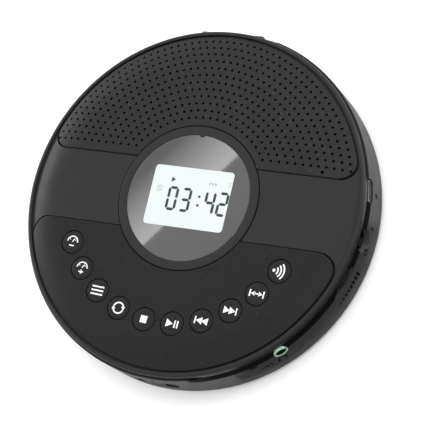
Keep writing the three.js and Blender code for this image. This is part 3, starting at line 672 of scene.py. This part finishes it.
window = turned("window", rounded([
    (0, WINDOW_LOW_Z, 0), (WINDOW_R, WINDOW_LOW_Z, 0), (WINDOW_R, WINDOW_Z, 0.2), (26.2, WINDOW_Z, 0),
    (13, WINDOW_Z, 0), (0, WINDOW_Z, 0),
], steps=4), 192)
combine(window, slab("window_notch", circle(0, KEY_Y, 1.35), 24, 30))


def two_tone(tree, scale, first, second):
    """A colour that drifts between two with a broad noise. Gives its output."""
    where = tree.nodes.new("ShaderNodeTexCoord").outputs["Object"]
    mix = tree.nodes.new("ShaderNodeMix")
    mix.data_type = "RGBA"
    mix.inputs["A"].default_value = (*first, 1)
    mix.inputs["B"].default_value = (*second, 1)
    tree.links.new(noise(tree, where, scale), mix.inputs["Factor"])
    return mix.outputs["Result"]


DARK_FILM, PALE_FILM = (0.19, 0.19, 0.192), (0.21, 0.21, 0.21)
film, tree, inputs = plain("mirror_film", DARK_FILM, 0.02)
where = tree.nodes.new("ShaderNodeTexCoord").outputs["Object"]
smudges = noise(tree, where, 60, 3)
tree.links.new(ramp(tree, smudges, 0, 1, 0.01, 0.035), inputs["Roughness"])
tree.links.new(two_tone(tree, 40, DARK_FILM, PALE_FILM), inputs["Base Color"])
inputs["Metallic"].default_value = 0.85
finished(window, film, "lid", "window_plastic", "display_window")


def lit(name, colour, glow, body=0.25):
    """A finish that gives its own light, a little uneven, over a body that is body times as bright."""
    made, tree, inputs = plain(name, colour, 0.3)
    uneven = two_tone(tree, 50, [c * 0.96 for c in colour], colour)
    under = tree.nodes.new("ShaderNodeVectorMath")
    under.operation = "SCALE"
    under.inputs["Scale"].default_value = body
    tree.links.new(uneven, under.inputs[0])
    tree.links.new(under.outputs[0], inputs["Base Color"])
    tree.links.new(uneven, inputs["Emission Color"])
    inputs["Emission Strength"].default_value = glow
    return made


def plates(name, outlines, low, high, material, body, slot, put=None):
    """Several thin flat shapes as one piece: prints, digits and marks."""
    first, *rest = [slab(name if i == 0 else "part", o, low, high, put) for i, o in enumerate(outlines)]
    work = bmesh.new()
    for piece in (first, *rest):
        work.from_mesh(piece.data)
    work.to_mesh(first.data)
    work.free()
    for piece in rest:
        bpy.data.objects.remove(piece)
    return finished(first, material, body, slot)


DISPLAY_WIDTH, DISPLAY_HEIGHT = 34.9, 25.1
LEFT, TOP = 0.5 - DISPLAY_WIDTH / 2, DISPLAY_HEIGHT / 2 - 0.2
DISPLAY_Z = 26.93  # just above the film
face = block((LEFT, LEFT + DISPLAY_WIDTH), (TOP - DISPLAY_HEIGHT, TOP), 1.5)
lcd = slab("display_face", face, 26.7, DISPLAY_Z)
finished(lcd, lit("display_glow", (0.92, 0.98, 0.985), 0.62), "lid", "lcd_screen")


FIGURE_WIDTH, FIGURE_HEIGHT = 3.5, 9.0
BAR_HALF = 0.575  # half the thickness of a bar
BAR_GAP = 0.12


def on_display(points):
    """Points (u across, v down) from the display's top left corner, as (x, y)."""
    return np.array([LEFT, TOP]) + np.asarray(points, float) * [1, -1]


def segments(u, v, figure):
    """The lit bars of one seven-bar figure, each an oblong with pointed ends, laid flat or upright."""
    middle = FIGURE_HEIGHT / 2
    bars = {
        "a": (0, 0, True), "g": (0, middle, True), "d": (0, FIGURE_HEIGHT, True), "f": (0, 0, False),
        "b": (FIGURE_WIDTH, 0, False), "e": (0, middle, False), "c": (FIGURE_WIDTH, middle, False),
    }
    out = []
    for which in {0: "abcdef", 2: "abged", 3: "abcdg", 4: "fgbc"}[figure]:
        x, y, flat = bars[which]
        near, far = BAR_GAP, (FIGURE_WIDTH if flat else middle) - BAR_GAP
        tips = [(near, 0), (near + BAR_HALF, BAR_HALF), (far - BAR_HALF, BAR_HALF),
                (far, 0), (far - BAR_HALF, -BAR_HALF), (near + BAR_HALF, -BAR_HALF)]
        shape = np.array(tips) if flat else np.array(tips)[:, ::-1]
        out.append(on_display(shape + [u + x, v + y]))
    return out


def band(cx, cy, radius, start, end, thick):
    """An arc of a ring, as one closed outline: the centre plus radius cos(angle), radius sin(angle)."""
    a = np.radians(np.linspace(start, end, 18))
    spokes = np.column_stack([np.cos(a), np.sin(a)])
    return np.concatenate([spokes * (radius + thick / 2), spokes[::-1] * (radius - thick / 2)]) + [cx, cy]


marks = []
for u, figure in ((8.5, 0), (14.4, 3), (25.1, 4), (30.7, 2)):
    marks += segments(u, 9.0, figure)
marks += [circle(LEFT + 21.9, TOP - v, 0.55, 24) for v in (11.5, 15.1)]
marks.append(on_display([(8.3, 4.5), (8.3, 6.7), (10.0, 5.6)]))
digit = lit("display_digit", (0.035, 0.037, 0.04), 0.0, 1.0)
DIGIT_Z = 26.96
plates("display_digits", marks, DISPLAY_Z, DIGIT_Z, digit, "lid", "lcd_screen")
faint = [on_display([(33.5, 4.8), (33.9, 4.1), (34.3, 4.8)])]
faint.append(on_display([(33.5, 5.6), (34.3, 5.6), (33.9, 6.3)]))
faint += [block((LEFT + u, LEFT + u + 0.7), (TOP - 6.1, TOP - 5.2)) for u in (25.0, 26.2, 27.4)]
faint += [band(LEFT + 3.7, TOP - 9.8, 1.15, start, start + 164, 0.28) for start in (8, 188)]
faint.append(circle(LEFT + 3.7, TOP - 9.8, 0.35, 20))
pale_digit = lit("display_pale_digit", (0.34, 0.36, 0.38), 0.0, 1.0)
plates("display_small_marks", faint, DISPLAY_Z, DIGIT_Z, pale_digit, "lid", "lcd_screen")

# ---------------------------------------------------------------- buttons
# Ten round keys of near-black ABS, each standing in its own hole, with a slightly crowned and softly edged
# top. The symbols are pad-printed in white.


KEY_R = 4.7
SKIRT_R = 5.35  # wider than the hole, so that the key stays in
KEY_LOW_Z, SKIRT_Z = 24.6, 25.15


def key_top(name, centre):
    """A cap with rounded shoulders whose top rises by 0.08 mm in the middle."""
    return turned(name, rounded([
        (0, KEY_LOW_Z, 0), (SKIRT_R, KEY_LOW_Z, 0), (SKIRT_R, SKIRT_Z, 0.1), (KEY_R, SKIRT_Z, 0.1),
        (KEY_R, TOP_Z, 0.4), (3.2, TOP_Z + 0.05, 0.8), (0, TOP_Z + 0.08, 0),
    ], steps=5), 96, centre)


def turn(points, degrees, by=(0, 0)):
    """Points turned anticlockwise about the origin, then moved."""
    c, s = math.cos(math.radians(degrees)), math.sin(math.radians(degrees))
    return np.asarray(points, float) @ np.array([[c, s], [-s, c]]) + by


def arrow(x, y, size, degrees=0):
    """A triangle that points along +x before it is turned."""
    points = np.array([(0.62, 0), (-0.38, 0.55), (-0.38, -0.55)]) * size
    return turn(points, degrees, (x, y))


def bar(x, y, wide, high):
    """An oblong about its middle."""
    return block((x - wide / 2, x + wide / 2), (y - high / 2, y + high / 2))


def dial(y):
    """A small speed dial: a half ring with three ticks and a needle."""
    ticks = [turn(bar(1.55, 0, 0.5, 0.34), a, (0, y)) for a in (35, 145)]
    return [band(0, y, 2.3, 0, 180, 0.5), turn(bar(0.75, 0, 1.6, 0.42), 62, (0, y)), *ticks]


STROKE = 0.62
symbols = {
    "speed_down": [*dial(0.1), bar(0, -1.5, 2.2, 0.5)],
    "speed_up": [*dial(0.1), bar(0, -1.6, 2.2, 0.5), bar(0, -1.03, 0.5, 0.64), bar(0, -2.17, 0.5, 0.64)],
    "function": [bar(0, y, 5.4, STROKE) for y in (1.55, 0, -1.55)],
    "mode": [band(0, 0, 2.2, 20, 165, STROKE), band(0, 0, 2.2, 200, 345, STROKE),
             arrow(2.15, 0.15, 1.5, -80), arrow(-2.15, -0.15, 1.5, 100)],
    "stop": [bar(0, 0, 2.9, 2.9)],
    "play_pause": [arrow(-1.35, 0, 3.0), bar(1.25, 0, STROKE, 3.0), bar(2.45, 0, STROKE, 3.0)],
    "previous": [arrow(1.75, 0, 2.7, 180), arrow(-0.65, 0, 2.7, 180), bar(-2.65, 0, 0.55, 2.9)],
    "next": [arrow(-1.75, 0, 2.7), arrow(0.65, 0, 2.7), bar(2.65, 0, 0.55, 2.9)],
    "repeat": [bar(-2.9, 0, 0.6, 2.8), bar(2.9, 0, 0.6, 2.8), bar(0, 0, 2.4, 0.5),
               arrow(1.45, 0, 1.7), arrow(-1.45, 0, 1.7, 180)],
    "wireless": [circle(-2.3, 0, STROKE, 20), band(-2.3, 0, 1.7, -48, 48, STROKE),
                 band(-2.3, 0, 3.0, -48, 48, STROKE), band(-2.3, 0, 4.3, -44, 44, STROKE)],
}
key_plastic = finish("key_plastic", (0.0125, 0.0125, 0.013), 0.46, 2400, 0.08, 0.04, 0.03, **SATIN)
print_white = finish("white_print", (0.80, 0.80, 0.79), 0.5, 3000, 0.05, 0.02, 0.0)
for name, centre in BUTTON_AT.items():
    cap = key_top("key_" + name, centre)
    finished(cap, key_plastic, "key_" + name, "key_plastic", "button_" + name, angle=50)
    shapes = [turn(shape, -3, centre) for shape in symbols[name]]
    plates("symbol_" + name, shapes, TOP_Z - 0.02, TOP_Z + 0.1, print_white, "key_" + name, "key_plastic")

# ---------------------------------------------------------------- sockets and side controls
# The headphone socket wears a pale green ring. The thumb wheel is knurled, the slide switch and the lid
# opener are ribbed so that a thumb can move them.

COLLAR_R, COLLAR_INNER_R = 3.05, 2.58
COLLAR_BACK, COLLAR_FRONT = 72.3, CASE_R - 0.02
SOCKET_Z = 17.1
collar = turned("headphone_collar", rounded([
    (COLLAR_INNER_R, COLLAR_BACK, 0), (COLLAR_R, COLLAR_BACK, 0), (COLLAR_R, COLLAR_FRONT, 0.2),
    (COLLAR_INNER_R, COLLAR_FRONT, 0.25),
], closed=True, steps=4), 48)
at_socket = Matrix.Translation((0, 0, SOCKET_Z * MM))
collar.data.transform(Matrix.Rotation(math.radians(HEADPHONE), 4, "Z") @ at_socket @ QUARTER_TURN)
mint = finish("mint_ring", (0.42, 0.66, 0.48), 0.35, 2500, 0.05, 0.02, 0.0)
finished(collar, mint, "base", "mint_ring", "headphone_ring")

black_plastic = finish("black_plastic", (0.010, 0.010, 0.0105), 0.5, 2400, 0.10, 0.05, 0.05, **SATIN)


def knurled(angle, radius, height):
    """The rim is pressed into 72 shallow grooves: radius less 0.2 times the square of cos(36 angle)."""
    return np.where(radius > 7.0, radius - 0.2 * np.cos(angle * 36) ** 2, radius), height


WHEEL_R = 7.3
WHEEL_Z = (17.4, 19.4)
WHEEL_AWAY = 66.4  # from the axis of the case to the wheel's own
wheel_at = polar(WHEEL_AWAY, WHEEL)
wheel = turned("thumb_wheel", rounded([
    (0, WHEEL_Z[0], 0), (WHEEL_R, WHEEL_Z[0], 0.25), (WHEEL_R, WHEEL_Z[1], 0.25), (0, WHEEL_Z[1], 0),
], steps=4), 432, wheel_at, knurled)
finished(wheel, black_plastic, "wheel", "black_plastic", "volume_wheel")

knob = slab("switch_knob", block((-3.0, 0.6), (17.6, 19.8), 0.35), 65.5, 73.6, on_wall(SWITCH))
for u in (-2.4, -1.6, -0.8, 0.0):
    combine(knob, slab("groove", bar(u, 18.7, 0.3, 3.0), 73.35, 76, on_wall(SWITCH)))
finished(knob, black_plastic, "switch", "black_plastic", "power_switch")

thumb = slab("opener_thumb", block((-5.5, 3.5), (9.6, 14.4), 0.6), 73.1, 73.75, on_wall(OPENER))
for u in np.arange(-4.6, 3.0, 0.9):
    combine(thumb, slab("groove", bar(u, 12, 0.4, 3.4), 73.5, 76, on_wall(OPENER)))
shanks = [
    ((-2, 1), (11.1, 12.9), 70.2, 73.2),  # through the wall
    ((-5, 2.6), (9.6, 20.3), 69.9, 71.2),  # up inside it
    ((-5, -2), (20.0, 21.4), 69.9, 71.2),  # the hook
]
for u, v, near, far in shanks:
    combine(thumb, slab("shank", block(u, v, 0.2), near, far, on_wall(OPENER)), "UNION")
opener_plastic = finish("opener_plastic", (0.045, 0.045, 0.047), 0.45, 2200, 0.10, 0.05, 0.05, **SATIN)
finished(thumb, opener_plastic, "opener", "black_plastic", "open_slider")

# Plain symbols are printed in black beside the sockets and controls.
mark_ink = finish("mark_ink", (0.004, 0.004, 0.0042), 0.75, 2400, 0.08, 0.02, 0.0, Specular_IOR_Level=0.05)


def wrapped(degrees):
    """Places u along the curved wall, v up and w out: angle = degrees + u / CASE_R, x = w cos(angle)."""
    start = math.radians(degrees)
    return lambda u, v, w: (w * np.cos(start + u / CASE_R), w * np.sin(start + u / CASE_R), v)


def wall_marks(name, shapes, degrees):
    """Flat shapes round the wall, standing 0.04 mm out of it."""
    low, high = CASE_R - 0.3, CASE_R + 0.04
    return plates(name, shapes, low, high, mark_ink, "base", "base_plastic", wrapped(degrees))


LINE_T = 0.22


def wall_line(name, stops):
    """A thin printed line through stops (angle, height) on the wall: its two edges lie LINE_T / 2 to each
    side of the points, x = out cos(angle), y = out sin(angle)."""
    angle = np.concatenate([np.linspace(a[0], b[0], 24) for a, b in zip(stops, stops[1:])])
    height = np.concatenate([np.linspace(a[1], b[1], 24) for a, b in zip(stops, stops[1:])])
    keep = np.append(True, np.abs(np.diff(angle)) + np.abs(np.diff(height)) > 1e-9)
    angle, height = np.radians(angle[keep]), height[keep]
    along, up = np.gradient(angle) * CASE_R, np.gradient(height)
    size = np.hypot(along, up)
    turn_by, rise = -up / size / CASE_R * LINE_T / 2, along / size * LINE_T / 2
    under, over = CASE_R - 0.1, CASE_R + 0.03
    edges = []
    for side, out in ((1, under), (1, over), (-1, over), (-1, under)):
        at = angle + side * turn_by
        edges.append(np.column_stack([out * np.cos(at), out * np.sin(at), height + side * rise]))
    points = np.stack(edges, axis=1).reshape(-1, 3)
    ends = [[0, 1, 2, 3], [len(points) - k for k in (1, 2, 3, 4)]]
    line = new_object(name, points, grid_faces(len(angle), 4, False, True).tolist() + ends)
    return finished(line, mark_ink, "base", "base_plastic")


wall_line("socket_outline", [(-63.5, 17), (-62.6, 10.6), (-60.5, 9.0), (-42.5, 9.0), (-41.0, 10.5)])
cups = [band(-1.6, 11.4, 1.7, 0, 180, 0.55), bar(-3.3, 10.9, 0.9, 1.9), bar(0.1, 10.9, 0.9, 1.9)]
wall_marks("headphone_mark", cups, HEADPHONE)
wall_marks("aux_mark", [bar(0.2, 11.8, 2.6, 0.6), arrow(2.2, 11.8, 2.2), bar(3.9, 11.8, 0.6, 2.8)], AUX + 2)
wall_marks("volume_mark", [bar(1.9 * k - 6.65, 11, 1.2, 0.9 + 0.45 * k) for k in range(8)], -19)
wall_marks("off_mark", [band(0, 11.6, 1.3, 8, 352, 0.6)], -7)
wall_marks("on_mark", [bar(0, 11.6, 0.7, 3.2)], 0.5)
bolt = np.array([(0.7, 13.6), (-1.6, 11.2), (-0.2, 11.2), (-0.7, 9.2), (1.6, 11.8), (0.2, 11.8)])
wall_marks("charging_mark", [bolt], USB)
wall_marks("opener_mark", [arrow(0, 16.8, 2.2)], OPENER)

# ---------------------------------------------------------------- disc tray and turntable
# Under the lid lies a black tray with a round well for the disc. The turntable stands in a hole in its
# floor, with three sprung steel balls that grip the disc, and beside it is the slot for the pickup.

SPINDLE = (-4.4, 2.6)
TRAY_R = 71.8
WELL_R, WELL_Z = 61.5, 14.3
TRAY_WALL = 1.2
tray = turned("disc_tray", rounded([
    (0, 19, 0), (TRAY_R - TRAY_WALL, 19, 0), (TRAY_R - TRAY_WALL, 16, 0), (TRAY_R, 16, 0.2),
    (TRAY_R, LEDGE_Z, 0.3), (0, LEDGE_Z, 0),
]))
CUP_R, CUP_Z = WELL_R + TRAY_WALL, WELL_Z - TRAY_WALL
combine(tray, turned("cup", [(0, CUP_Z), (CUP_R, CUP_Z), (CUP_R, 20.1), (0, 20.1)], SIDES, SPINDLE), "UNION")
well_outline = rounded([
    (0, WELL_Z, 0), (WELL_R, WELL_Z, 1.0), (WELL_R, LEDGE_Z - 0.6, 0.3), (WELL_R + 0.6, LEDGE_Z, 0.1),
    (WELL_R + 0.6, 25, 0), (0, 25, 0),
])
combine(tray, turned("well", well_outline, SIDES, SPINDLE))
for x, y in SCREWS:
    combine(tray, slab("post", circle(x, y, 2.8), 8.3, 13.3), "UNION")
    combine(tray, slab("thread", circle(x, y, 1.4, 24), 8, 12.5))
pockets = [
    ((-3.6, 3.6), (12.9, 19.7), 58.6, HEADPHONE), ((-3.4, 3.4), (12.9, 19.7), 58.6, AUX),
    ((-5.2, 5.2), (12.9, 21), 62.6, USB), ((-4.6, 4.6), (12.9, 21), 61.5, SWITCH),
    ((-6.2, 6.2), (12.9, 19.7), 66, WHEEL), ((-6, 9), (12.9, 21), 69.4, OPENER),
]
for u, v, near, degrees in pockets:
    combine(tray, slab("pocket", block(u, v), near, 73, on_wall(degrees)))
combine(tray, slab("wheel_room", circle(*wheel_at, 7.8, 96), 12.9, 19.7))
combine(tray, slab("plunger_hole", turn(circle(66.8, 0, 1.2, 32), 62), 18, 21))
slot_x, slot_y = (SPINDLE[0] - 9, SPINDLE[0] + 9), (SPINDLE[1] - 61.1, SPINDLE[1])
combine(tray, slab("pickup_slot", block(slot_x, slot_y, 1.5), 12, 16))
combine(tray, slab("hub_hole", circle(*SPINDLE, 17, 144), 12, 16))
combine(tray, slab("hinge_room", block(HINGE_ROOM_X, (69.2, 76)), 12, 23))
tray_plastic = finish("tray_plastic", (0.012, 0.012, 0.0125), 0.48, 2000, 0.12, 0.06, 0.12, **SATIN)
finished(tray, tray_plastic, "base", "black_plastic", "disc_deck")

PLATTER_R, PLATTER_Z = 15, 16.6  # the disc lies on this
BOSS_R, BOSS_Z = 7.3, 19.9  # the disc's hole fits round this
hub = turned("turntable_platter", rounded([
    (0, 10.8, 0), (1, 10.8, 0), (1, 13, 0), (5, 13, 0), (5, 15.2, 0.2), (PLATTER_R, 15.4, 0.3),
    (PLATTER_R, PLATTER_Z, 0.25), (BOSS_R, PLATTER_Z, 0.3), (BOSS_R, BOSS_Z - 0.8, 0.3), (6.4, BOSS_Z, 0.3),
    (1.4, BOSS_Z, 0.1), (1.2, 19.6, 0.1), (0, 19.6, 0),
]), 144)
BALL_ANGLES = (90, 210, 330)
BALL_AWAY = 6.8
BALL_Z = 18.35
for degrees in BALL_ANGLES:
    combine(hub, slab("ball_pocket", circle(0, BALL_Z, 1.25, 32), 4.4, 9, on_wall(degrees)))
hub.data.transform(Matrix.Translation((SPINDLE[0] * MM, SPINDLE[1] * MM, 0)))
finished(hub, tray_plastic, "turntable", "black_plastic", "turntable_hub")

bright = finish("polished_steel", (0.75, 0.76, 0.78), 0.12, 3000, 0.03, 0.01, 0.0, 1.0)
half_turn = np.linspace(-math.pi / 2, math.pi / 2, 17)
ball_outline = np.column_stack([np.abs(np.cos(half_turn)), BALL_Z + np.sin(half_turn)])
ball_outline[[0, -1], 0] = 0
for k, degrees in enumerate(BALL_ANGLES, 1):
    x, y = polar(BALL_AWAY, degrees)
    ball = turned(f"steel_ball_{k}", ball_outline, 32, (x + SPINDLE[0], y + SPINDLE[1]))
    finished(ball, bright, f"ball_{k}", "polished_steel", f"clamp_ball_{k}", angle=80)

# ---------------------------------------------------------------- inner cover and feet
# The lid is closed below by a thin black cover, stepped over the disc and its clamp and cut away at the
# hinge and the latch. The player stands on four soft rubber feet, glued in shallow pockets.

COVER_R = 71.2
COVER_TOP_Z = 21.6


def ring_groove(start):
    """Corners of a groove 0.25 mm deep round the cover's underside, from a radius outwards."""
    steps = ((0, 0), (0.3, 0.25), (1.3, 0.25), (1.6, 0))
    return [(start + out, LID_Z + deep, 0.1) for out, deep in steps]


cover = turned("inner_cover", rounded([
    (0, 21, 0), (9.2, 21, 0.15), (9.6, LID_Z, 0.15), *ring_groove(21), *ring_groove(60.4),
    (COVER_R, LID_Z, 0.3), (COVER_R, COVER_TOP_Z, 0), (0, COVER_TOP_Z, 0),
]))
combine(cover, slab("hinge_room", block(HINGE_ROOM_X, (69.4, 76)), 20, 23))
combine(cover, slab("latch_room", block((-6, 9), (20, 23)), 69.3, 76, on_wall(OPENER)))
finished(cover, tray_plastic, "lid", "black_plastic", "lid_inner_cover")

rubber = finish("soft_rubber", (0.016, 0.016, 0.016), 0.8, 1800, 0.15, 0.10, 0.25)
FOOT_R, FOOT_T = 5, 1.7
foot_outline = rounded([(0, 0, 0), (FOOT_R, 0, 0.5), (FOOT_R, FOOT_T, 0), (0, FOOT_T, 0)])
for k, centre in enumerate(FEET, 1):
    foot = turned(f"rubber_foot_{k}", foot_outline, 96, centre)
    finished(foot, rubber, "base", "soft_rubber", f"foot_{k}")

# ---------------------------------------------------------------- carried-over pieces
# The small parts in and under the case keep their shapes: plated steel screws and rods, green boards, a
# wrapped battery pack, the motors, the speakers and the lens. Each slot gets a finish of its own.
steel = finish("bare_steel", (0.52, 0.53, 0.55), 0.32, 4000, 0.08, 0.05, 0.02, 1.0)
lcd_body = finish("display_body", (0.55, 0.58, 0.58), 0.4, 2400, 0.05, 0.02, 0.0)
board = finish("circuit_board", (0.005, 0.024, 0.011), 0.4, 600, 0.35, 0.10, 0.05)
wrap = finish("battery_wrap", (0.035, 0.055, 0.10), 0.3, 500, 0.15, 0.05, 0.05)
cone_film = finish("cone_film", (0.02, 0.02, 0.022), 0.45, 900, 0.15, 0.10, 0.05)
glass = finish("lens_glass", (0.10, 0.17, 0.23), 0.05, 3000, 0.02, 0.0, 0.0, IOR=1.5)
by_slot = {
    "soft_rubber": rubber, "bare_steel": steel, "polished_steel": bright, "circuit_board": board,
    "battery_wrap": wrap, "cone_film": cone_film, "lens_glass": glass, "black_plastic": black_plastic,
    "base_plastic": base_plastic, "lid_plastic": lid_plastic, "panel_plastic": panel_plastic,
    "grille_plastic": grille_plastic, "key_plastic": key_plastic, "mint_ring": mint,
    "window_plastic": film, "lcd_screen": lcd_body,
}
for part in frame["record"]["subparts"]:
    if part["material_slot"] in by_slot:
        for piece_slot in frame["nodes"][part["node"]].material_slots:
            piece_slot.material = by_slot[part["material_slot"]]
